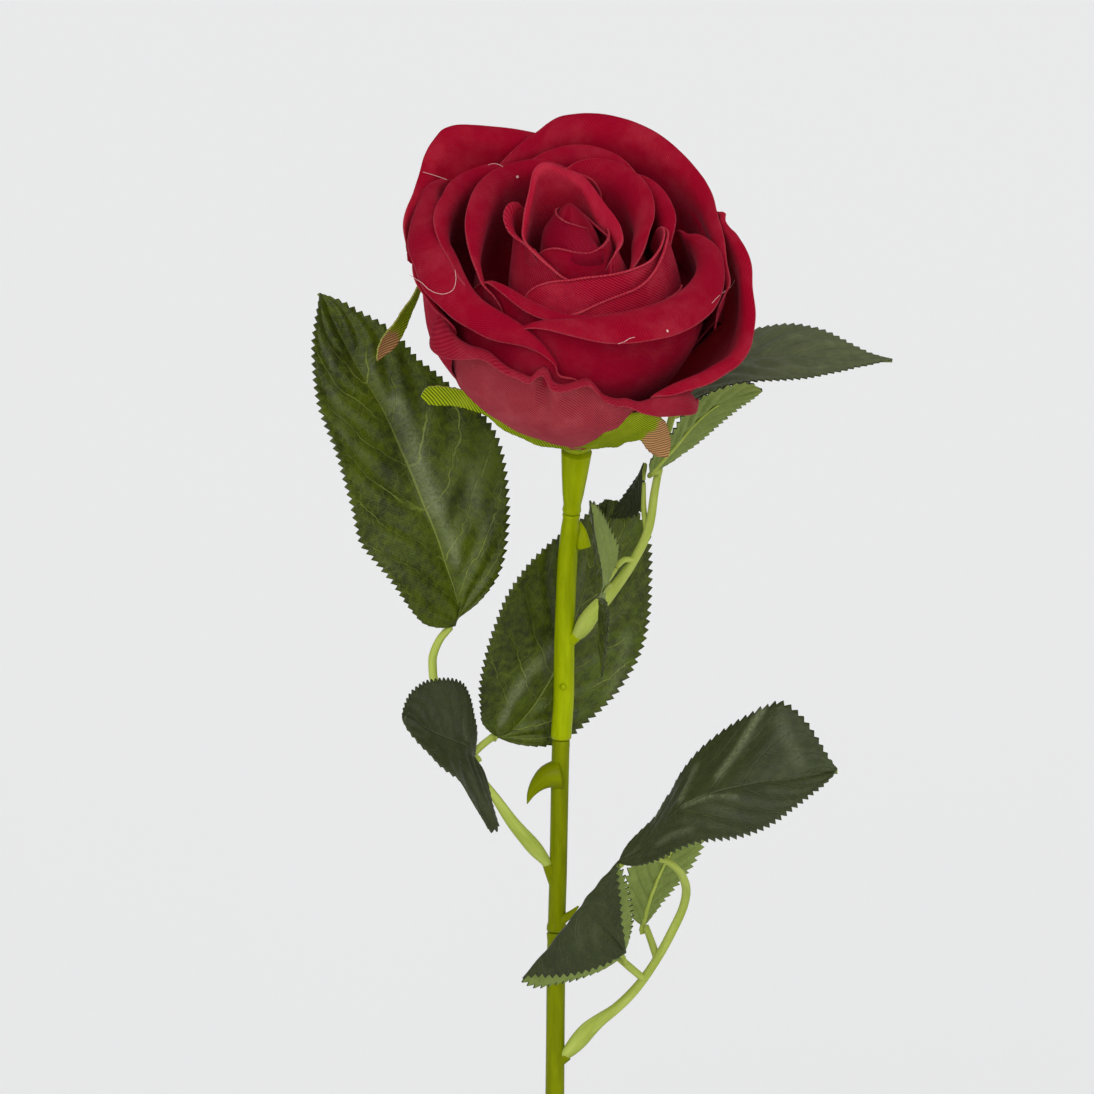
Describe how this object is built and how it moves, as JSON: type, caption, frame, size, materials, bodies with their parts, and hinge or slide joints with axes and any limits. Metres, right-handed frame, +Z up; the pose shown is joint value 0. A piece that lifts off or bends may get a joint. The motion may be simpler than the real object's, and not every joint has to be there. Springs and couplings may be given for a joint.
{
  "type": "rose in a bud vase",
  "caption": "Open cloth rose nodding on a sleeved, thorned stem with toothed leaves on side stalks, standing in a plain narrow-necked bud vase.",
  "frame": {"origin": "middle of the vase's flat base, on the surface it stands on", "axes": "+Z up along the vase, -Y towards the viewer, which is the way the bloom nods, +X to the viewer's right"},
  "size_m": [0.1382, 0.0964, 0.4016],
  "materials": {
    "glaze": "off-white glaze over stoneware, unglazed foot ring",
    "wire": "plain drawn wire",
    "stem": "moulded olive-green plastic, slightly glossy",
    "stalk": "pale green moulded plastic",
    "leaf": "printed leaf cloth, coated, pale underside",
    "petal": "deep red twill with a short velvety nap",
    "sepal": "yellow-green cloth, browned at the tips"
  },
  "bodies": {
    "root": {"vase": "glaze", "stem_wire": "wire", "stem_lower": "stem", "stem_middle": "stem", "stem_upper": "stem", "stem_receptacle": "stem", "spray_left_stalk": "stalk", "spray_right_stalk": "stalk", "spray_low_stalk": "stalk", "leaf_left_end": "leaf", "leaf_left_front": "leaf", "leaf_left_back": "leaf", "leaf_right_near": "leaf", "leaf_right_small": "leaf", "leaf_right_under": "leaf", "leaf_right_end": "leaf", "leaf_low_end": "leaf", "leaf_low_folded": "leaf", "leaf_low_back": "leaf", "bloom": "petal", "calyx": "sepal"}
  },
  "joints": []
}
